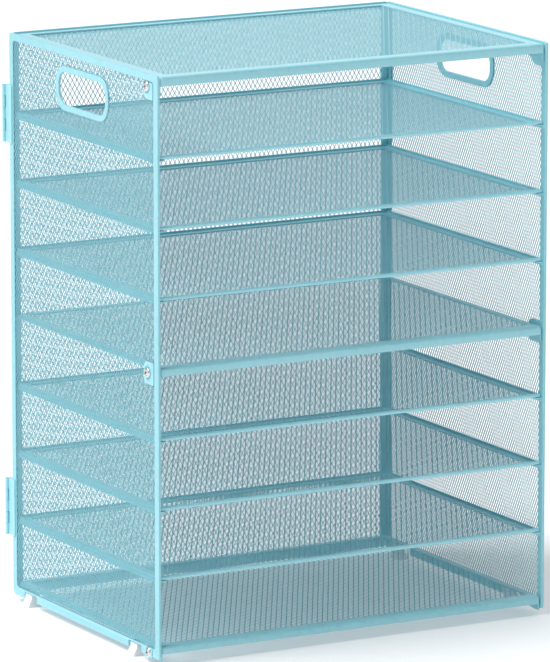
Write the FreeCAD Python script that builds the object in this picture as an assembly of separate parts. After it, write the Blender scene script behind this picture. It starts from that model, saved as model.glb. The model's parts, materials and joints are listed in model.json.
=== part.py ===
import FreeCAD, Part
import os
import math

# Eight-tier document drawer unit in coated expanded-metal mesh.
# Millimetres, +Z up, front towards -Y, origin on the resting plane at the
# middle of the bounding box. Sheet parts are folded metal, the mesh panels are
# expanded sheet drawn here as plain 0.8 mm sheets.

V = FreeCAD.Vector

# ---------------------------------------------------------------- dimensions
W = 330.0            # over the outer faces of the two side panels
D = 238.0            # depth of a side panel
H_PANEL = 434.0      # height of a side panel
FOOT_DROP = 5.0      # panels hang this high above the resting plane

Y_FRONT = -122.7     # front edge of the side panels
Y_REAR = Y_FRONT + D
Z_BOT = FOOT_DROP
Z_TOP = Z_BOT + H_PANEL
X_OUT = W / 2.0

SIDE_T = 2.2         # folded edging of the side and back panels
X_IN = X_OUT - SIDE_T
EDGE_FRONT = 6.6     # visible widths of the side edging
EDGE_REAR = 6.0
EDGE_TOP = 5.5
EDGE_BOTTOM = 6.6
BACK_SIDE = 5.0      # visible widths of the back panel's edging
BACK_TOP = 5.5
MESH_T = 0.8         # expanded sheet
GROOVE = 3.0         # mesh reaches this far into the folded edging
XM0 = X_IN + 0.7     # mesh layer inside the side panels
XM1 = XM0 + MESH_T

TIER = 52.1          # pitch of the eight tiers
LIP0 = Z_BOT + 10.0  # top of the bottom frame


def level(k):
    return LIP0 + TIER * k


SHELVES = {1: "shelf_1", 2: "shelf_2", 3: "shelf_3",
           5: "shelf_4", 6: "shelf_5", 7: "shelf_6"}
MIDDLE = 4

SHEET = 1.0          # sheet thickness of frames, flanges and ears
X_CORE = 162.6       # half width of the frames and of the back panel
Y_FRAME_REAR = 112.85
TOP_DROP = 1.1       # the top frame lies this far below the panels' upper edge
CORNER_R = 3.0       # upright corners of the frames
SKIRT = 2.5          # turned-down edge along the frames' sides and rear
TAB_DROP = 1.6       # lower screw tab reaches this far below the panel

X_SHELF = 162.2      # half width of a sliding shelf
Y_LIP = Y_FRONT + 3.0
Y_SHELF_REAR = 112.35
LIP_H = 3.0
RIM_H = 2.4          # low rim along the sides and the rear of a shelf

SCREW_Y = Y_FRONT + 17.0
SCREW_Z = {"top": Z_BOT + 424.4, "middle": Z_BOT + 212.8, "bottom": Z_BOT + 2.6}
SHANK_R = 2.0
HEAD_R = 4.0
HEAD_H = 2.2
HEAD_SEAT = 0.8      # head sits this deep in its dimple
EAR_HOLE_R = 2.4
PANEL_HOLE_R = 2.25

HINGE_X = X_OUT + 1.5
HINGE_Y = Y_REAR + 5.9
HINGE_R = 1.5
HINGE_L = 44.0
HINGE_Z = {"upper": Z_BOT + 350.0, "lower": Z_BOT + 46.0}
PIN_R = 0.8

HANDLE_Y = Y_FRONT + 119.4
HANDLE_Z = Z_TOP - 29.9
HANDLE_IN = (74.5, 24.4, 10.3)
HANDLE_OUT = (84.0, 33.8, 14.3)
HANDLE_MESH = (79.2, 29.2, 12.2)

NOTCH_W = 20.2
NOTCH_H = 5.2
NOTCH_Y = (Y_FRONT + 28.6, Y_FRONT + 198.9)
FOOT_Y = (Y_FRONT + 41.5, Y_FRONT + 213.3)
FOOT_DEPTH = 10.6

RUNNER_X = 157.6
RUNNER_T = 0.8
RUNNER_LEG = 2.8


# ------------------------------------------------------------------- helpers
def box(x0, x1, y0, y1, z0, z1):
    x0, x1 = min(x0, x1), max(x0, x1)
    y0, y1 = min(y0, y1), max(y0, y1)
    z0, z1 = min(z0, z1), max(z0, z1)
    return Part.makeBox(x1 - x0, y1 - y0, z1 - z0, V(x0, y0, z0))


def prism(points, radii, axis, a0, a1):
    """Solid of a closed outline with rounded corners. The outline lies in the
    plane across the axis (x: y,z  y: x,z  z: x,y) and runs from a0 to a1."""
    n = len(points)
    if not isinstance(radii, (list, tuple)):
        radii = [radii] * n

    def place(u, v):
        if axis == "x":
            return V(a0, u, v)
        if axis == "y":
            return V(u, a0, v)
        return V(u, v, a0)

    corners = []
    for i in range(n):
        p = points[i]
        r = radii[i]
        if r <= 0:
            corners.append((p, None, p))
            continue
        a = points[i - 1]
        b = points[(i + 1) % n]
        ua = (a[0] - p[0], a[1] - p[1])
        ub = (b[0] - p[0], b[1] - p[1])
        la = math.hypot(*ua)
        lb = math.hypot(*ub)
        ua = (ua[0] / la, ua[1] / la)
        ub = (ub[0] / lb, ub[1] / lb)
        cosang = ua[0] * ub[0] + ua[1] * ub[1]
        half = math.acos(max(-1.0, min(1.0, cosang))) / 2.0
        t = r / math.tan(half)
        s = (p[0] + ua[0] * t, p[1] + ua[1] * t)
        e = (p[0] + ub[0] * t, p[1] + ub[1] * t)
        bis = (ua[0] + ub[0], ua[1] + ub[1])
        lbis = math.hypot(*bis)
        dist = r / math.sin(half)
        c = (p[0] + bis[0] / lbis * dist, p[1] + bis[1] / lbis * dist)
        m = (c[0] - bis[0] / lbis * r, c[1] - bis[1] / lbis * r)
        corners.append((s, m, e))
    edges = []
    for i in range(n):
        s, m, e = corners[i]
        if m is not None:
            edges.append(Part.Arc(place(*s), place(*m), place(*e)).toShape())
        nxt = corners[(i + 1) % n][0]
        if math.hypot(nxt[0] - e[0], nxt[1] - e[1]) > 1e-6:
            edges.append(Part.makeLine(place(*e), place(*nxt)))
    face = Part.Face(Part.Wire(edges))
    span = a1 - a0
    if axis == "x":
        return face.extrude(V(span, 0, 0))
    if axis == "y":
        return face.extrude(V(0, span, 0))
    return face.extrude(V(0, 0, span))


def rect(u0, u1, v0, v1):
    return [(u0, v0), (u1, v0), (u1, v1), (u0, v1)]


def slab_x(x0, x1, y0, y1, z0, z1, r=0.0):
    return prism(rect(y0, y1, z0, z1), r, "x", x0, x1)


def slab_y(y0, y1, x0, x1, z0, z1, r=0.0):
    return prism(rect(x0, x1, z0, z1), r, "y", y0, y1)


def slab_z(z0, z1, x0, x1, y0, y1, r=0.0):
    return prism(rect(x0, x1, y0, y1), r, "z", z0, z1)


def fuse(shapes):
    out = shapes[0]
    if len(shapes) > 1:
        out = out.fuse(shapes[1:])
    return out.removeSplitter()


def mirrored(shape):
    return shape.mirror(V(0, 0, 0), V(1, 0, 0))


def cyl_x(r, x0, x1, y, z):
    return Part.makeCylinder(r, x1 - x0, V(x0, y, z), V(1, 0, 0))


def round_edges(shape, r, wanted):
    """Round the edges that the test picks; keep the sharp shape if the
    rounding cannot be made."""
    edges = [e for e in shape.Edges if wanted(e)]
    if not edges:
        return shape
    try:
        out = shape.makeFillet(r, edges)
        if out.isValid() and out.Volume > 0:
            return out
    except Exception:
        pass
    print("left sharp", r, len(edges))
    return shape


NODES = {}


def put(name, shape):
    NODES[name] = shape


# --------------------------------------------------------------- side panels
def side_panel():
    """The right-hand panel; the left-hand one is its mirror image."""
    y0, y1, z0, z1 = Y_FRONT, Y_REAR, Z_BOT, Z_TOP
    iy0, iy1 = y0 + EDGE_FRONT, y1 - EDGE_REAR
    iz0, iz1 = z0 + EDGE_BOTTOM, z1 - EDGE_TOP

    outer = prism(rect(y0, y1, z0, z1), [2.5, 4.5, 2.5, 2.5], "x", X_IN, X_OUT)
    inner = prism(rect(iy0, iy1, iz0, iz1), 3.0, "x", X_IN - 1, X_OUT + 1)
    ring = outer.cut(inner)
    for ny in NOTCH_Y:
        ring = ring.cut(prism([(ny, z0 - 3), (ny + NOTCH_W, z0 - 3),
                               (ny + NOTCH_W, z0 + NOTCH_H), (ny, z0 + NOTCH_H)],
                              [0, 0, 1.2, 1.2], "x", X_IN - 1, X_OUT + 1))

    def wanted(e):
        bb = e.BoundBox
        flat = abs(bb.XMin - bb.XMax) < 1e-6
        return flat and (abs(bb.XMin - X_OUT) < 1e-6 or abs(bb.XMin - X_IN) < 1e-6)
    ring = round_edges(ring, 0.6, wanted)
    screw_tab = prism(rect(y0 + 11.6, y0 + 24.6, z0 - TAB_DROP, z0 + 4.0),
                      [1.0, 3.0, 0, 0], "x", X_IN, X_OUT)
    screw_tab = round_edges(screw_tab, 0.6, lambda e: wanted(e)
                            and e.BoundBox.ZMin < z0 + 3.9)
    ring = fuse([ring, screw_tab])

    # groove that holds the mesh, opened after the rounding
    groove = prism(rect(iy0 - GROOVE, iy1 + GROOVE, iz0 - GROOVE, iz1 + GROOVE),
                   2.0, "x", XM0, XM1)
    for ny in NOTCH_Y:
        groove = groove.cut(box(XM0 - 1, XM1 + 1, ny - 2, ny + NOTCH_W + 2,
                                z0, iz0 - 0.6))
    frame = ring.cut(groove)
    # thin seam between the front edging and the lower tab, and the screw hole
    frame = frame.cut(box(X_OUT - 1.6, X_OUT + 1, y0 + 10.4, y0 + 11.6,
                          z0 - 1, z0 + EDGE_BOTTOM - 0.4))
    frame = frame.cut(cyl_x(PANEL_HOLE_R, X_IN - 1, X_OUT + 1, SCREW_Y, SCREW_Z["bottom"]))
    frame = frame.cut(cyl_x(HEAD_R + 0.05, X_OUT - HEAD_SEAT, X_OUT + 1, SCREW_Y,
                            SCREW_Z["bottom"]))

    # corner gusset and middle tab: full-thickness plates that carry the screws
    gap = 0.9
    gy1 = y0 + 22.0
    gz0 = z1 - 19.0
    gusset_back = prism(rect(iy0, gy1, gz0, iz1), [1.5, 9.0, 0, 0], "x", X_IN, X_IN + 0.8)
    gusset_back = gusset_back.cut(outer.cut(inner))
    gusset_face = prism(rect(iy0 + gap, gy1, gz0, iz1 - gap), [1.5, 9.0, 0.8, 2.4],
                        "x", X_IN + 0.8, X_OUT - 0.1)
    gusset = fuse([gusset_back, gusset_face])
    tz0, tz1 = z0 + 204.5, z0 + 221.1
    ty1 = y0 + 22.6
    tab_back = prism(rect(iy0, ty1, tz0, tz1), [0, 4.0, 5.0, 0], "x", X_IN, X_IN + 0.8)
    tab_face = prism(rect(iy0 + gap, ty1, tz0, tz1), [1.0, 4.0, 5.0, 2.5],
                     "x", X_IN + 0.8, X_OUT - 0.1)
    tab = fuse([tab_back, tab_face])

    def screwed(plate, z):
        plate = plate.cut(cyl_x(PANEL_HOLE_R, X_IN - 1, X_OUT + 1, SCREW_Y, z))
        cone = Part.makeCone(HEAD_R + 0.05, 5.6, HEAD_SEAT + 0.02,
                             V(X_OUT - HEAD_SEAT, SCREW_Y, z), V(1, 0, 0))
        plate = plate.cut(cone)
        # recess opened to the outside above the plate face
        return plate

    gusset = screwed(gusset, SCREW_Z["top"])
    tab = screwed(tab, SCREW_Z["middle"])

    # mesh sheet, cut away round the gusset, the tab and the handle
    mesh = prism(rect(iy0 - GROOVE, iy1 + GROOVE, iz0 - GROOVE, iz1 + GROOVE),
                 2.0, "x", XM0, XM1)
    for ny in NOTCH_Y:
        mesh = mesh.cut(box(XM0 - 1, XM1 + 1, ny - 2, ny + NOTCH_W + 2, z0, iz0 - 0.6))
    mesh = mesh.cut(prism(rect(iy0 - 0.05, gy1 + 0.05, gz0 - 0.05, iz1 + 0.05),
                          [1.5, 9.0, 0, 0], "x", XM0 - 1, XM1 + 1))
    mesh = mesh.cut(prism(rect(iy0 - 0.05, ty1 + 0.05, tz0 - 0.05, tz1 + 0.05),
                          [0, 4.0, 5.0, 0], "x", XM0 - 1, XM1 + 1))
    mesh = mesh.cut(cyl_x(HEAD_R + 0.1, XM0 - 1, XM1 + 1, SCREW_Y, SCREW_Z["bottom"]))
    a, b, r = HANDLE_MESH
    mesh = mesh.cut(prism(rect(HANDLE_Y - a / 2, HANDLE_Y + a / 2,
                               HANDLE_Z - b / 2, HANDLE_Z + b / 2), r,
                          "x", XM0 - 1, XM1 + 1))

    # folded edging of the hand hole
    a, b, r = HANDLE_OUT
    rim = prism(rect(HANDLE_Y - a / 2, HANDLE_Y + a / 2,
                     HANDLE_Z - b / 2, HANDLE_Z + b / 2), r, "x", X_IN, X_OUT)
    a, b, r = HANDLE_IN
    rim = rim.cut(prism(rect(HANDLE_Y - a / 2, HANDLE_Y + a / 2,
                             HANDLE_Z - b / 2, HANDLE_Z + b / 2), r,
                        "x", X_IN - 1, X_OUT + 1))
    rim = round_edges(rim, 0.7, wanted)
    a, b, r = HANDLE_OUT
    slot = prism(rect(HANDLE_Y - a / 2 - 2, HANDLE_Y + a / 2 + 2,
                      HANDLE_Z - b / 2 - 2, HANDLE_Z + b / 2 + 2), r, "x", XM0, XM1)
    a, b, r = HANDLE_MESH
    slot = slot.cut(prism(rect(HANDLE_Y - a / 2, HANDLE_Y + a / 2,
                               HANDLE_Z - b / 2, HANDLE_Z + b / 2), r,
                          "x", XM0 - 1, XM1 + 1))
    rim = rim.cut(slot)

    # angle runners under the sliding shelves
    runners = []
    for k in sorted(SHELVES):
        z = level(k)
        top = z - LIP_H - 0.1
        prof = [(X_IN, top), (X_IN, top - RUNNER_LEG), (X_IN - RUNNER_T, top - RUNNER_LEG),
                (X_IN - RUNNER_T, top - RUNNER_T), (RUNNER_X, top - RUNNER_T),
                (RUNNER_X, top)]
        runners.append(prism(prof, [0, 0, 0, 0, 0, 0], "y", Y_FRONT + 2.2,
                             Y_SHELF_REAR - 0.3))

    parts = {"side_frame": frame, "side_mesh": mesh, "handle_edging": rim,
             "top_gusset": gusset, "middle_tab": tab,
             "shelf_runners": Part.makeCompound(runners)}
    return parts


def screw():
    """Pan-head screw with a cross recess along +X, its head seated at x = 0."""
    length = X_OUT - HEAD_SEAT - 158.9
    dome = 1.7
    c = V(HEAD_H - dome, HEAD_R - dome, 0)
    mid = c + V(dome * math.cos(math.pi / 4), dome * math.sin(math.pi / 4), 0)
    edges = [Part.makeLine(V(-length, 0, 0), V(-length, SHANK_R - 0.4, 0)),
             Part.makeLine(V(-length, SHANK_R - 0.4, 0), V(-length + 0.4, SHANK_R, 0)),
             Part.makeLine(V(-length + 0.4, SHANK_R, 0), V(0, SHANK_R, 0)),
             Part.makeLine(V(0, SHANK_R, 0), V(0, HEAD_R, 0)),
             Part.makeLine(V(0, HEAD_R, 0), V(HEAD_H - dome, HEAD_R, 0)),
             Part.Arc(V(HEAD_H - dome, HEAD_R, 0), mid, V(HEAD_H, HEAD_R - dome, 0)).toShape(),
             Part.makeLine(V(HEAD_H, HEAD_R - dome, 0), V(HEAD_H, 0, 0)),
             Part.makeLine(V(HEAD_H, 0, 0), V(-length, 0, 0))]
    body = Part.Face(Part.Wire(edges)).revolve(V(0, 0, 0), V(1, 0, 0), 360)
    if body.Volume < 0:
        body.reverse()
    cross = fuse([box(HEAD_H - 1.1, HEAD_H + 1, -2.15, 2.15, -0.5, 0.5),
                  box(HEAD_H - 1.1, HEAD_H + 1, -0.5, 0.5, -2.15, 2.15)])
    body = body.cut(cross)
    body.rotate(V(0, 0, 0), V(1, 0, 0), 20)
    return body


def screws(side):
    out = []
    for key in ("top", "middle", "bottom"):
        s = screw()
        if side < 0:
            s.rotate(V(0, 0, 0), V(0, 0, 1), 180)
        s.translate(V(side * (X_OUT - HEAD_SEAT), SCREW_Y, SCREW_Z[key]))
        out.append(s)
    return Part.makeCompound(out)


# -------------------------------------------------------------------- hinges
def hinge(z0):
    """One butt hinge on the right-hand rear corner: leaf on the side panel,
    leaf on the back panel, and the pin."""
    seg = HINGE_L / 5.0
    play = 0.15
    pieces = [box(X_OUT, X_OUT + 1.0, Y_REAR - 5.2, HINGE_Y - 2.2, z0, z0 + HINGE_L)]
    for i in (0, 2, 4):
        a = z0 + i * seg + (play if i else 0.0)
        b = z0 + (i + 1) * seg - (play if i < 4 else 0.0)
        pieces.append(Part.makeCylinder(HINGE_R, b - a, V(HINGE_X, HINGE_Y, a)))
        pieces.append(box(X_OUT, X_OUT + 1.0, HINGE_Y - 2.4, HINGE_Y, a, b))
    side = fuse(pieces)
    side = side.cut(Part.makeCylinder(PIN_R + 0.08, HINGE_L + 2, V(HINGE_X, HINGE_Y, z0 - 1)))

    yb = Y_REAR + 0.1
    pieces = [box(X_CORE - BACK_SIDE + 0.3, 164.4, yb, yb + 1.0, z0, z0 + HINGE_L),
              box(163.4, 164.4, yb, HINGE_Y + 0.5, z0, z0 + HINGE_L)]
    for i in (1, 3):
        a = z0 + i * seg + play
        b = z0 + (i + 1) * seg - play
        pieces.append(Part.makeCylinder(HINGE_R, b - a, V(HINGE_X, HINGE_Y, a)))
        pieces.append(box(163.4, HINGE_X, HINGE_Y - 0.5, HINGE_Y + 0.5, a, b))
    back = fuse(pieces)
    back = back.cut(Part.makeCylinder(PIN_R + 0.02, HINGE_L + 2, V(HINGE_X, HINGE_Y, z0 - 1)))
    pin = Part.makeCylinder(PIN_R, HINGE_L, V(HINGE_X, HINGE_Y, z0))
    ends = [e for e in pin.Edges if abs(e.BoundBox.ZMin - e.BoundBox.ZMax) < 1e-6]
    pin = pin.makeFillet(0.35, ends)
    return side, back, pin


# ------------------------------------------------------------- level frames
def level_frame(top, y_front, flange, screw_z, border_side, border_front, border_rear,
                bend):
    """Folded sheet frame: flat border, skirts all round with rounded corners,
    a deeper skirt in front, and a screw ear at each front corner."""
    yr = Y_FRAME_REAR
    z1 = top
    low = max(screw_z - 6.0, Z_BOT - TAB_DROP + 0.2)
    zl = min(low, z1 - flange) - 1.0

    def tray(inset, z_high, r, rb):
        t = prism(rect(-X_CORE + inset, X_CORE - inset, y_front + inset, yr - inset),
                  r, "z", zl - inset, z_high)
        return round_edges(t, rb, lambda e: abs(e.BoundBox.ZMin - z_high) < 1e-6
                           and abs(e.BoundBox.ZMax - z_high) < 1e-6)

    shell = tray(0.0, z1, CORNER_R, bend).cut(tray(SHEET, z1 - SHEET, CORNER_R - SHEET,
                                                   bend - SHEET))
    keep = [box(-X_CORE - 1, X_CORE + 1, y_front - 1, y_front + CORNER_R, z1 - flange, z1 + 1),
            box(-X_CORE - 1, X_CORE + 1, y_front + CORNER_R, yr + 1, z1 - SKIRT, z1 + 1)]
    ye = Y_FRONT + 21.0
    for s in (-1, 1):
        keep.append(prism([(y_front + 1.6, low), (Y_FRONT + 9.0, low), (ye, screw_z - 2.6),
                           (ye, z1 + 1), (y_front + 1.6, z1 + 1)], [0.8, 5.0, 2.0, 0, 0], "x",
                          s * (X_CORE - CORNER_R), s * (X_CORE + 1)))
    frame = shell.common(fuse(keep))
    frame = frame.cut(slab_z(z1 - SHEET - 1, z1 + 1, -X_CORE + border_side,
                             X_CORE - border_side, y_front + border_front,
                             yr - border_rear, 2.0))
    frame = frame.cut(cyl_x(EAR_HOLE_R, -X_CORE - 2, X_CORE + 2, SCREW_Y, screw_z))
    frame = frame.removeSplitter()
    if len(frame.Solids) == 1:
        frame = frame.Solids[0]
    lap = 3.0
    mesh = slab_z(z1 - SHEET - MESH_T, z1 - SHEET, -X_CORE + border_side - lap,
                  X_CORE - border_side + lap, y_front + border_front - lap,
                  yr - border_rear + lap, 2.0)
    return frame, mesh


# ------------------------------------------------------------ sliding shelves
def shelf(k):
    z = level(k)
    zb = z - LIP_H
    lip = prism(rect(Y_LIP, Y_LIP + 3.0, zb, z), [1.45, 0.3, 1.2, 1.45], "x",
                -X_SHELF, X_SHELF)
    plate = slab_z(zb, zb + SHEET, -X_SHELF, X_SHELF, Y_LIP + 1.5, Y_SHELF_REAR)
    plate = plate.cut(slab_z(zb - 1, zb + 2, -X_SHELF + 7.0, X_SHELF - 7.0,
                             Y_LIP + 8.0, Y_SHELF_REAR - 8.0, 2.0))
    pieces = [lip, plate]
    for s in (-1, 1):
        pieces.append(box(s * (X_SHELF - SHEET), s * X_SHELF, Y_LIP + 1.5, Y_SHELF_REAR,
                          zb, zb + RIM_H))
    pieces.append(box(-X_SHELF, X_SHELF, Y_SHELF_REAR - SHEET, Y_SHELF_REAR, zb, zb + RIM_H))
    frame = fuse(pieces)
    mesh = slab_z(zb - MESH_T, zb, -X_SHELF + 5.2, X_SHELF - 5.2,
                  Y_LIP + 5.0, Y_SHELF_REAR - 5.0, 1.0)
    return frame, mesh


# ----------------------------------------------------------------- back panel
def back_panel():
    y0, y1 = Y_REAR - SIDE_T, Y_REAR
    iz0, iz1 = Z_BOT + EDGE_BOTTOM, Z_TOP - BACK_TOP
    ix = X_CORE - BACK_SIDE
    ring = slab_y(y0, y1, -X_CORE, X_CORE, Z_BOT, Z_TOP, 2.0)
    ring = ring.cut(slab_y(y0 - 1, y1 + 1, -ix, ix, iz0, iz1, 3.0))

    def wanted(e):
        bb = e.BoundBox
        return abs(bb.YMin - bb.YMax) < 1e-6 and abs(bb.YMin - y1) < 1e-6
    ring = round_edges(ring, 0.7, wanted)
    m0, m1 = y0 + 0.7, y0 + 0.7 + MESH_T
    sheet = slab_y(m0, m1, -ix - GROOVE, ix + GROOVE, iz0 - GROOVE, iz1 + GROOVE, 2.0)
    return ring.cut(sheet), sheet


# ------------------------------------------------------------------------ feet
def foot(yc):
    """Plastic foot: a stem under the bottom frame that flares into a base
    reaching out through the notch of the side panel."""
    top = LIP0 - SHEET
    prof = [(156.6, 0.0), (166.8, 0.0), (166.8, 1.8), (164.2, 6.6), (164.2, 9.7),
            (161.4, 9.7), (161.4, top - 1.3), (160.1, top), (157.4, top), (157.4, 6.6),
            (156.6, 1.8)]
    s = prism(prof, [0.6, 0.8, 0.8, 1.5, 0.8, 0.0, 0.0, 0.0, 0.0, 1.5, 0.8], "y",
              yc - FOOT_DEPTH / 2, yc + FOOT_DEPTH / 2)
    return s


# ----------------------------------------------------------------------- build
back_frame, back_mesh = back_panel()
put("back_frame", back_frame)
put("back_mesh", back_mesh)

f, m = level_frame(Z_TOP - TOP_DROP, Y_FRONT + 0.6, 6.9, SCREW_Z["top"],
                   9.8, 10.0, 8.0, 2.0)
put("top_frame", f)
put("top_mesh", m)
f, m = level_frame(level(MIDDLE), Y_FRONT + 1.0, 6.4, SCREW_Z["middle"],
                   7.0, 9.0, 8.0, 2.0)
put("middle_frame", f)
put("middle_mesh", m)
f, m = level_frame(LIP0, Y_FRONT + 0.6, 6.0, SCREW_Z["bottom"], 7.0, 9.0, 8.0, 2.0)
for yc in FOOT_Y:
    for s in (-1, 1):
        m = m.cut(box(s * 157.2, s * 162.0, yc - FOOT_DEPTH / 2 - 0.5,
                      yc + FOOT_DEPTH / 2 + 0.5, LIP0 - 4.0, LIP0))
put("bottom_frame", f)
put("bottom_mesh", m)

nuts = []
for key in ("top", "middle", "bottom"):
    z = SCREW_Z[key]
    for s in (-1, 1):
        inner, outer = X_CORE - SHEET - 2.4, X_CORE - SHEET
        n = cyl_x(2.9, inner, outer, SCREW_Y, z)
        n = n.makeChamfer(0.3, [e for e in n.Edges
                                if abs(e.BoundBox.XMax - e.BoundBox.XMin) < 1e-6])
        n = n.cut(cyl_x(EAR_HOLE_R, inner - 1, outer + 1, SCREW_Y, z))
        nuts.append(n if s > 0 else mirrored(n))
put("frame_nuts", Part.makeCompound(nuts))

for k in sorted(SHELVES):
    f, m = shelf(k)
    put(SHELVES[k] + "_frame", f)
    put(SHELVES[k] + "_mesh", m)

right = side_panel()
for name in sorted(right):
    put("right_" + name, right[name])
    put("left_" + name, mirrored(right[name]))
put("right_side_screws", screws(1))
put("left_side_screws", screws(-1))

pins = []
for which in ("upper", "lower"):
    side_leaf, back_leaf, pin = hinge(HINGE_Z[which])
    put("right_%s_hinge_side_leaf" % which, side_leaf)
    put("left_%s_hinge_side_leaf" % which, mirrored(side_leaf))
    put("right_%s_hinge_back_leaf" % which, back_leaf)
    put("left_%s_hinge_back_leaf" % which, mirrored(back_leaf))
    pins += [pin, mirrored(pin)]
put("hinge_pins", Part.makeCompound(pins))

for yc, where in ((FOOT_Y[0], "front"), (FOOT_Y[1], "rear")):
    s = foot(yc)
    put("%s_right_foot" % where, s)
    put("%s_left_foot" % where, mirrored(s))

os.makedirs("parts", exist_ok=True)
total = None
for name in sorted(NODES):
    shape = NODES[name]
    ok = shape.isValid() and all(s.isValid() for s in shape.Solids)
    print("%-32s solids %d  volume %9.1f  %s" % (name, len(shape.Solids), shape.Volume,
                                               "ok" if ok else "NOT VALID"))
    shape.exportStep("parts/" + name + ".step")
    bb = shape.BoundBox
    if total is None:
        total = bb
    else:
        total.add(bb)
print("nodes", len(NODES))
print("bounds", total)
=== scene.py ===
import json
import math

import bpy
import numpy as np
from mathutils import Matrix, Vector


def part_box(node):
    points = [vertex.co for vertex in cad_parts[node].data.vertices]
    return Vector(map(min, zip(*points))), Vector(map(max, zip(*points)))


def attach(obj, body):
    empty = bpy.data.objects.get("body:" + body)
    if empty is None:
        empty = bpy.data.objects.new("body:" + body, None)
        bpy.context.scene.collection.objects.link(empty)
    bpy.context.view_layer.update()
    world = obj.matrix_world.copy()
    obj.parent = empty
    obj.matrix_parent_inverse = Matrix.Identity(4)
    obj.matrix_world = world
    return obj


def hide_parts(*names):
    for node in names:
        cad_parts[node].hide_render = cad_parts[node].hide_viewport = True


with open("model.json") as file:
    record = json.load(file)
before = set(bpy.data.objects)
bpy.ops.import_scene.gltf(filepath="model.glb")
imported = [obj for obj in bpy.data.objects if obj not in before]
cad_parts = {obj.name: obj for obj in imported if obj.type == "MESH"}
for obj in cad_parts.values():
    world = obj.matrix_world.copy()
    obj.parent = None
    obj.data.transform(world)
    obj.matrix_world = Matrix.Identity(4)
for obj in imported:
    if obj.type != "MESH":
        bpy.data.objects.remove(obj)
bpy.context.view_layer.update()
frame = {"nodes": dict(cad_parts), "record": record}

NODES = frame["nodes"]
MM = 0.001


# ------------------------------------------------------------------ camera
def add_camera():
    az, el = math.radians(-28.97), math.radians(11.41)
    back = Vector((math.sin(az) * math.cos(el), -math.cos(az) * math.cos(el), math.sin(el)))
    cam = bpy.data.cameras.new("camera")
    cam.sensor_width = 36.0
    cam.lens = 6483.7 * 36.0 / 662.0
    cam.clip_start, cam.clip_end = 0.5, 60.0
    ob = bpy.data.objects.new("camera", cam)
    bpy.context.scene.collection.objects.link(ob)
    ob.location = (-2.3262, -4.2018, 1.1833)
    ob.rotation_mode = "QUATERNION"
    ob.rotation_quaternion = (-back).to_track_quat("-Z", "Y")
    bpy.context.scene.camera = ob


add_camera()


# --------------------------------------------------------------- materials
class Tree:
    """Small helper for node trees."""

    def __init__(self, name):
        self.mat = bpy.data.materials.new(name)
        self.mat.use_nodes = True
        self.nt = self.mat.node_tree
        self.nt.nodes.clear()
        self.out = self.new("ShaderNodeOutputMaterial")
        self.bsdf = self.new("ShaderNodeBsdfPrincipled")
        self.link(self.bsdf.outputs[0], self.out.inputs[0])

    def new(self, kind, **props):
        n = self.nt.nodes.new(kind)
        for k, v in props.items():
            setattr(n, k, v)
        return n

    def link(self, a, b):
        self.nt.links.new(a, b)

    def coords(self, scale=(1, 1, 1)):
        tc = self.new("ShaderNodeTexCoord")
        mp = self.new("ShaderNodeMapping")
        mp.inputs["Scale"].default_value = scale
        self.link(tc.outputs["Object"], mp.inputs["Vector"])
        return mp.outputs["Vector"]

    def noise(self, vec, scale, detail=3.0, rough=0.55):
        n = self.new("ShaderNodeTexNoise")
        n.inputs["Scale"].default_value = scale
        n.inputs["Detail"].default_value = detail
        n.inputs["Roughness"].default_value = rough
        self.link(vec, n.inputs["Vector"])
        return n.outputs["Fac"]

    def ramp(self, fac, stops):
        r = self.new("ShaderNodeValToRGB")
        e = r.color_ramp.elements
        while len(e) < len(stops):
            e.new(0.5)
        for el, (p, c) in zip(e, stops):
            el.position = p
            el.color = (*c, 1.0) if len(c) == 3 else c
        self.link(fac, r.inputs["Fac"])
        return r.outputs["Color"]

    def range(self, fac, lo, hi, a=0.0, b=1.0):
        m = self.new("ShaderNodeMapRange")
        m.inputs["From Min"].default_value = a
        m.inputs["From Max"].default_value = b
        m.inputs["To Min"].default_value = lo
        m.inputs["To Max"].default_value = hi
        self.link(fac, m.inputs["Value"])
        return m.outputs["Result"]

    def mix(self, fac, a, b, blend="MIX"):
        m = self.new("ShaderNodeMix", data_type="RGBA", blend_type=blend)
        if isinstance(fac, float):
            m.inputs[0].default_value = fac
        else:
            self.link(fac, m.inputs[0])
        for sock, val in ((m.inputs[6], a), (m.inputs[7], b)):
            if isinstance(val, tuple):
                sock.default_value = (*val, 1.0)
            else:
                self.link(val, sock)
        return m.outputs[2]

    def bump(self, height, strength, distance, normal=None):
        b = self.new("ShaderNodeBump")
        b.inputs["Strength"].default_value = strength
        b.inputs["Distance"].default_value = distance
        self.link(height, b.inputs["Height"])
        if normal is not None:
            self.link(normal, b.inputs["Normal"])
        return b.outputs["Normal"]


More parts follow.
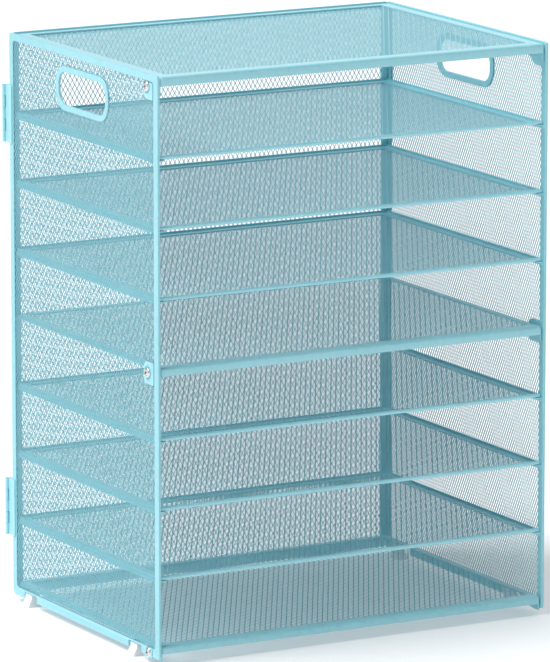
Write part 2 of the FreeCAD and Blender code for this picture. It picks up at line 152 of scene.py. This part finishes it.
def powder_coat(name, light, mid, deep, rough=(0.34, 0.48), peel=0.30, coat=0.25, grain=900.0):
    """Coated metal: mottled colour, orange-peel bump, fine grain, and a painted highlight: a
    slightly paler colour where sheet edges stick out."""
    t = Tree(name)
    vec = t.coords()
    broad = t.noise(vec, 9.0, 3.0)
    fine = t.noise(vec, 240.0, 4.0, 0.6)
    base = t.ramp(broad, [(0.30, deep), (0.52, mid), (0.74, light)])
    speck = t.ramp(fine, [(0.36, tuple(c * 0.90 for c in mid)), (0.5, mid),
                          (0.66, tuple(min(1.0, c * 1.07) for c in mid))])
    colour = t.mix(0.45, base, speck)
    geo = t.new("ShaderNodeNewGeometry")
    # painted highlight: convex sheet edges (high pointiness) get a paler colour, standing in for
    # light catching the rounded edges
    edge_highlight_mask = t.range(geo.outputs["Pointiness"], 0.0, 0.35, 0.53, 0.60)
    edge_highlit_colour = t.mix(edge_highlight_mask, colour, tuple(min(1.0, c * 1.18 + 0.03) for c in light))
    t.link(edge_highlit_colour, t.bsdf.inputs["Base Color"])
    t.link(t.range(fine, rough[0], rough[1], 0.3, 0.7), t.bsdf.inputs["Roughness"])
    peel_h = t.noise(vec, grain, 2.0, 0.5)
    grit = t.noise(vec, grain * 4.0, 2.0, 0.6)
    n1 = t.bump(peel_h, peel, 0.00012)
    n2 = t.bump(grit, peel * 0.6, 0.00004, n1)
    t.link(n2, t.bsdf.inputs["Normal"])
    t.bsdf.inputs["IOR"].default_value = 1.5
    t.bsdf.inputs["Coat Weight"].default_value = coat
    t.bsdf.inputs["Coat Roughness"].default_value = 0.22
    return t.mat


def plated(name, colour, dark, rough=(0.16, 0.34), scratch=1.0):
    """Bright plated steel: fine turning marks, painted shade darkening the recesses."""
    t = Tree(name)
    vec = t.coords()
    lines = t.noise(t.coords((400.0, 5200.0, 5200.0)), 1.0, 3.0, 0.7)
    cloud = t.noise(vec, 420.0, 3.0)
    base = t.ramp(cloud, [(0.32, dark), (0.6, colour)])
    geo = t.new("ShaderNodeNewGeometry")
    # painted shade: recesses (low pointiness) are darkened towards a deep copy of the dark tone
    recess_shade_mask = t.range(geo.outputs["Pointiness"], 1.0, 0.0, 0.38, 0.47)
    base = t.mix(recess_shade_mask, base, tuple(c * 0.35 for c in dark))
    t.link(base, t.bsdf.inputs["Base Color"])
    t.bsdf.inputs["Metallic"].default_value = 1.0
    t.link(t.range(cloud, rough[0], rough[1], 0.3, 0.7), t.bsdf.inputs["Roughness"])
    t.link(t.bump(lines, 0.25 * scratch, 0.00003), t.bsdf.inputs["Normal"])
    return t.mat


def moulded(name, colour, shade):
    """Moulded plastic: faint flow mottling, fine texture."""
    t = Tree(name)
    vec = t.coords()
    cloud = t.noise(vec, 260.0, 4.0)
    base = t.ramp(cloud, [(0.34, shade), (0.62, colour)])
    t.link(base, t.bsdf.inputs["Base Color"])
    t.link(t.range(cloud, 0.42, 0.58, 0.3, 0.7), t.bsdf.inputs["Roughness"])
    t.link(t.bump(t.noise(vec, 2600.0, 2.0), 0.25, 0.00005), t.bsdf.inputs["Normal"])
    t.bsdf.inputs["Subsurface Weight"].default_value = 0.15
    t.bsdf.inputs["Subsurface Radius"].default_value = (0.002, 0.002, 0.002)
    return t.mat


COAT = powder_coat("coat_sheet", (0.36, 0.71, 0.79), (0.30, 0.655, 0.735), (0.265, 0.61, 0.695))
# painted shade: the mesh uses the sheet's paint made darker, standing in for the strands'
# self-shadowing and the shaded interior
COAT_MESH_SHADED = powder_coat("coat_mesh_painted_shade", (0.28, 0.60, 0.68), (0.245, 0.55, 0.625),
                        (0.215, 0.505, 0.58), rough=(0.38, 0.52), peel=0.2)
COAT_HINGE = powder_coat("coat_hinge", (0.35, 0.69, 0.77), (0.295, 0.64, 0.72),
                         (0.26, 0.60, 0.68), peel=0.22)
NICKEL = plated("nickel_screw", (0.80, 0.81, 0.83), (0.62, 0.63, 0.66))
STEEL = plated("steel_pin", (0.62, 0.63, 0.66), (0.45, 0.46, 0.49), (0.25, 0.4))
WHITE = moulded("white_plastic", (0.84, 0.85, 0.86), (0.76, 0.775, 0.79))
BY_SLOT = {"coated_sheet": COAT, "coated_mesh": COAT_MESH_SHADED, "coated_hinge": COAT_HINGE,
           "zinc_screw": NICKEL, "steel_pin": STEEL,
           "white_plastic": WHITE}
SLOT_OF = {s["node"]: s["material_slot"] for s in frame["record"]["subparts"]}
BODY_OF = {n: b for b, ns in frame["record"]["behaviour"]["bodies"].items() for n in ns}


# ----------------------------------------------------- carried-over nodes
def dress(ob, mat, bevel):
    ob.data.materials.clear()
    ob.data.materials.append(mat)
    if bevel > 0:
        m = ob.modifiers.new("edge", "BEVEL")
        m.width = bevel * MM
        m.segments = 2
        m.limit_method = "ANGLE"
        m.angle_limit = math.radians(38)
        m.use_clamp_overlap = True
        m.harden_normals = True


for name, ob in NODES.items():
    if name.endswith("_mesh"):
        continue
    bevel = 0.25
    if name.endswith("_screws") or name in ("hinge_pins", "frame_nuts"):
        bevel = 0.0
    if name.endswith("_foot"):
        bevel = 0.35
    dress(ob, BY_SLOT[SLOT_OF[name]], bevel)


# ------------------------------------------------------------ mesh lattices
def rounded_rect_sdf(u, v, cu, cv, w, h, r):
    """Signed distance to a rounded rectangle, negative inside."""
    qx = np.abs(u - cu) - (w / 2 - r)
    qy = np.abs(v - cv) - (h / 2 - r)
    out = np.hypot(np.maximum(qx, 0), np.maximum(qy, 0)) + np.minimum(np.maximum(qx, qy), 0)
    return out - r


def lattice(name, place, u0, u1, v0, v1, a, b, width, thick, n0, holes=(), bond=0.5):
    """Expanded sheet: zigzag strands running along v, each bonded to its
    neighbours. a and b are the diamond's diagonals along u and v, n0 the
    sheet's mid-plane, holes are distance functions that are negative where
    there is no sheet. All in millimetres."""
    pitch = a / 2.0
    count = int(math.floor((u1 - u0 - width) / pitch))
    start = (u0 + u1) / 2.0 - count * pitch / 2.0
    steps = int(math.floor((v1 - v0) / (b / 2.0)))
    first = (v0 + v1) / 2.0 - steps * b / 4.0
    wu = width / math.cos(math.atan2(a, b))
    amp = a / 4.0 - wu / 4.0 * bond
    k = np.arange(count + 1)[:, None]
    j = np.arange(steps + 1)[None, :]
    sign = np.where((k + j) % 2 == 0, 1.0, -1.0)
    U = start + k * pitch + sign * amp + 0 * j
    Vv = first + j * (b / 2.0) + 0 * k

    def inside(u, v):
        ok = np.ones(u.shape, bool)
        for h in holes:
            ok &= h(u, v) > 0
        return ok

    ok = inside(U, Vv)

    def ring(u, v):
        """Four points of a strand's section: right, front, left, back."""
        t = thick / 2.0
        n = np.full(u.shape, n0)
        return np.stack([
            np.stack([u + wu / 2, v, n], -1), np.stack([u, v, n + t], -1),
            np.stack([u - wu / 2, v, n], -1), np.stack([u, v, n - t], -1)], -2)

    verts = [ring(U, Vv).reshape(-1, 3)]
    idx = (np.arange(U.size) * 4).reshape(U.shape)
    total = U.size * 4
    faces = []

    def tube(s, e):
        for c in range(4):
            d = (c + 1) % 4
            faces.append(np.stack([s + c, s + d, e + d, e + c], -1).reshape(-1, 4))

    both = ok[:, :-1] & ok[:, 1:]
    tube(idx[:, :-1][both], idx[:, 1:][both])
    caps = []
    first_ok = ok[:, 0]
    caps.append(idx[:, 0][first_ok])
    end_caps = [idx[:, -1][ok[:, -1]]]
    for fwd in (True, False):
        if fwd:
            cross = ok[:, :-1] & ~ok[:, 1:]
            ia, ib = (slice(None), slice(0, -1)), (slice(None), slice(1, None))
        else:
            cross = ~ok[:, :-1] & ok[:, 1:]
            ia, ib = (slice(None), slice(1, None)), (slice(None), slice(0, -1))
        if not cross.any():
            continue
        ua, va, ub, vb = U[ia][cross], Vv[ia][cross], U[ib][cross], Vv[ib][cross]
        lo, hi = np.zeros(ua.shape), np.ones(ua.shape)
        for _ in range(14):
            mid = (lo + hi) / 2
            good = inside(ua + (ub - ua) * mid, va + (vb - va) * mid)
            lo, hi = np.where(good, mid, lo), np.where(good, hi, mid)
        pts = ring(ua + (ub - ua) * lo, va + (vb - va) * lo).reshape(-1, 3)
        new = total + np.arange(ua.size) * 4
        total += ua.size * 4
        verts.append(pts)
        if fwd:
            tube(idx[ia][cross], new)
            end_caps.append(new)
        else:
            tube(new, idx[ia][cross])
            caps.append(new)
    start_caps = np.concatenate(caps)
    end_caps = np.concatenate(end_caps)
    faces.append(np.stack([start_caps + c for c in (3, 2, 1, 0)], -1))
    faces.append(np.stack([end_caps + c for c in (0, 1, 2, 3)], -1))
    P = np.concatenate(verts)
    F = np.concatenate(faces)
    used = np.zeros(len(P), bool)
    used[F] = True
    remap = np.cumsum(used) - 1
    P, F = P[used], remap[F]
    u, v, n = P[:, 0], P[:, 1], P[:, 2]
    xyz = np.stack(place(u, v, n), -1) * MM
    # right-handed winding whichever way the plane maps
    e1 = np.array([c[0] for c in place(np.array([1.0]), np.array([0.0]), np.array([0.0]))], float)
    e2 = np.array([c[0] for c in place(np.array([0.0]), np.array([1.0]), np.array([0.0]))], float)
    e3 = np.array([c[0] for c in place(np.array([0.0]), np.array([0.0]), np.array([1.0]))], float)
    o = np.array([c[0] for c in place(np.array([0.0]), np.array([0.0]), np.array([0.0]))], float)
    if np.linalg.det(np.stack([e1 - o, e2 - o, e3 - o])) > 0:
        F = F[:, ::-1]
    me = bpy.data.meshes.new(name)
    me.vertices.add(len(P))
    me.vertices.foreach_set("co", xyz.astype(np.float32).ravel())
    me.loops.add(F.size)
    me.loops.foreach_set("vertex_index", F.astype(np.int32).ravel())
    me.polygons.add(len(F))
    me.polygons.foreach_set("loop_start", (np.arange(len(F)) * 4).astype(np.int32))
    me.polygons.foreach_set("loop_total", np.full(len(F), 4, np.int32))
    me.update(calc_edges=True)
    me.polygons.foreach_set("use_smooth", np.ones(len(F), bool))
    uv = me.uv_layers.new(name="OFBake")
    span = max(u.max() - u.min(), v.max() - v.min()) + 4.0
    uu = (u - u.min() + 0.7 * (n - n0) + 2.0) / span
    vv = (v - v.min() + 0.5 * (n - n0) + 2.0) / span
    flat = F.ravel()
    uv.data.foreach_set("uv", np.stack([uu[flat], vv[flat]], -1).astype(np.float32).ravel())
    me.update()
    ob = bpy.data.objects.new(name, me)
    bpy.context.scene.collection.objects.link(ob)
    me.materials.append(COAT_MESH_SHADED)
    return ob


def stand_in(ob, node):
    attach(ob, BODY_OF[node])
    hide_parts(node)


def box_mm(node):
    lo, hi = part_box(node)
    return [c / MM for c in lo], [c / MM for c in hi]


# side panels: long way of the mesh upright
HANDLE = (-3.3, 409.1, 78.4, 28.4, 11.8)
FRONT, SCREW_ROW = -122.7, -105.7
for side in ("left", "right"):
    node = side + "_side_mesh"
    lo, hi = box_mm(node)
    glo, ghi = box_mm(side + "_top_gusset")
    tlo, thi = box_mm(side + "_middle_tab")

    def hand_hole(u, v):
        return rounded_rect_sdf(u, v, *HANDLE)

    def gusset(u, v, g=glo, h=ghi):
        # the plate's rear and lower edges; its other edges lie in the edging
        u1, v0 = h[1] - 0.3, g[2] + 0.3
        return rounded_rect_sdf(u, v, u1 - 15.0, v0 + 15.0, 30.0, 30.0, 8.7)

    def tab(u, v, g=tlo, h=thi):
        u1, v0, v1 = h[1] - 0.3, g[2] + 0.3, h[2] - 0.3
        return rounded_rect_sdf(u, v, u1 - 15.0, (v0 + v1) / 2, 30.0, v1 - v0, 4.4)

    def lower_edge(u, v):
        # the sheet stops short of the foot notches and of the lower screw
        d = [rounded_rect_sdf(u, v, FRONT + y + 10.1, 6.0, 24.0, 9.6, 0.5) for y in (28.6, 198.9)]
        d.append(rounded_rect_sdf(u, v, SCREW_ROW, 7.6, 8.4, 8.4, 4.1))
        return np.minimum.reduce(d)

    ob = lattice(side + "_side_lattice", lambda u, v, n: (n, u, v),
                 lo[1] + 0.3, hi[1] - 0.3, lo[2] + 0.3, hi[2] - 0.3,
                 3.1, 5.4, 0.70, 0.52, (lo[0] + hi[0]) / 2.0,
                 (hand_hole, gusset, tab, lower_edge))
    stand_in(ob, node)

# back panel
lo, hi = box_mm("back_mesh")
ob = lattice("back_lattice", lambda u, v, n: (u, n, v), lo[0] + 0.3, hi[0] - 0.3,
             lo[2] + 0.3, hi[2] - 0.3, 3.9, 6.7, 0.60, 0.38, (lo[1] + hi[1]) / 2)
stand_in(ob, "back_mesh")


# level sheets and sliding shelves: long way along the depth
def foot_notches(u, v):
    d = [rounded_rect_sdf(u, v, sx * 160.2, FRONT + y, 6.4, 12.0, 0.3)
         for sx in (-1, 1) for y in (41.5, 213.3)]
    return np.minimum.reduce(d)


for node in sorted(NODES):
    if not node.endswith("_mesh") or node in ("left_side_mesh", "right_side_mesh", "back_mesh"):
        continue
    lo, hi = box_mm(node)
    ob = lattice(node.replace("_mesh", "_lattice"), lambda u, v, n: (u, v, n),
                 lo[0] + 0.6, hi[0] - 0.6, lo[1] + 0.3, hi[1] - 0.3,
                 4.43, 7.75, 0.82, 0.54, (lo[2] + hi[2]) / 2,
                 (foot_notches,) if node == "bottom_mesh" else ())
    stand_in(ob, node)


# ---------------------------------------------------------- floor and light
def floor():
    me = bpy.data.meshes.new("floor")
    s = 14.0
    me.from_pydata([(-s, -s, 0), (s, -s, 0), (s, s, 0), (-s, s, 0)], [], [(0, 1, 2, 3)])
    ob = bpy.data.objects.new("floor", me)
    bpy.context.scene.collection.objects.link(ob)
    t = Tree("floor_paint")
    t.link(t.ramp(t.noise(t.coords(), 3.0, 2.0), [(0.3, (0.705, 0.71, 0.715)),
                                                  (0.7, (0.73, 0.735, 0.74))]),
           t.bsdf.inputs["Base Color"])
    t.bsdf.inputs["Roughness"].default_value = 0.9
    t.bsdf.inputs["Emission Color"].default_value = (0.97, 0.985, 1.0, 1.0)
    t.bsdf.inputs["Emission Strength"].default_value = 0.3
    t.bsdf.inputs["Specular IOR Level"].default_value = 0.1
    me.materials.append(t.mat)


def softbox(name, towards, strength, spread, colour=(1, 1, 1)):
    """Large distant soft light; towards points from the object to it."""
    li = bpy.data.lights.new(name, "SUN")
    li.energy = strength
    li.angle = math.radians(spread)
    li.color = colour
    ob = bpy.data.objects.new(name, li)
    bpy.context.scene.collection.objects.link(ob)
    ob.location = Vector(towards) * 3.0
    ob.rotation_mode = "QUATERNION"
    ob.rotation_quaternion = Vector(towards).to_track_quat("Z", "Y")


floor()
softbox("key", (-0.50, 0.10, 0.86), 2.7, 36.0)
softbox("fill", (-0.94, 0.10, 0.32), 0.42, 50.0)
softbox("front", (-0.30, -0.85, 0.43), 0.30, 60.0)
softbox("rim", (0.55, 0.60, 0.58), 0.6, 60.0)
world = bpy.data.worlds.new("studio")
bpy.context.scene.world = world
world.use_nodes = True
wt = world.node_tree
bg = wt.nodes["Background"]
bg.inputs["Color"].default_value = (0.97, 0.985, 1.0, 1.0)
lp = wt.nodes.new("ShaderNodeLightPath")
level = wt.nodes.new("ShaderNodeMapRange")
level.inputs["To Min"].default_value = 0.28
level.inputs["To Max"].default_value = 1.05
wt.links.new(lp.outputs["Is Camera Ray"], level.inputs["Value"])
wt.links.new(level.outputs["Result"], bg.inputs["Strength"])
scene = bpy.context.scene
scene.view_settings.view_transform = "Standard"
scene.view_settings.look = "None"
scene.view_settings.exposure = 0.0
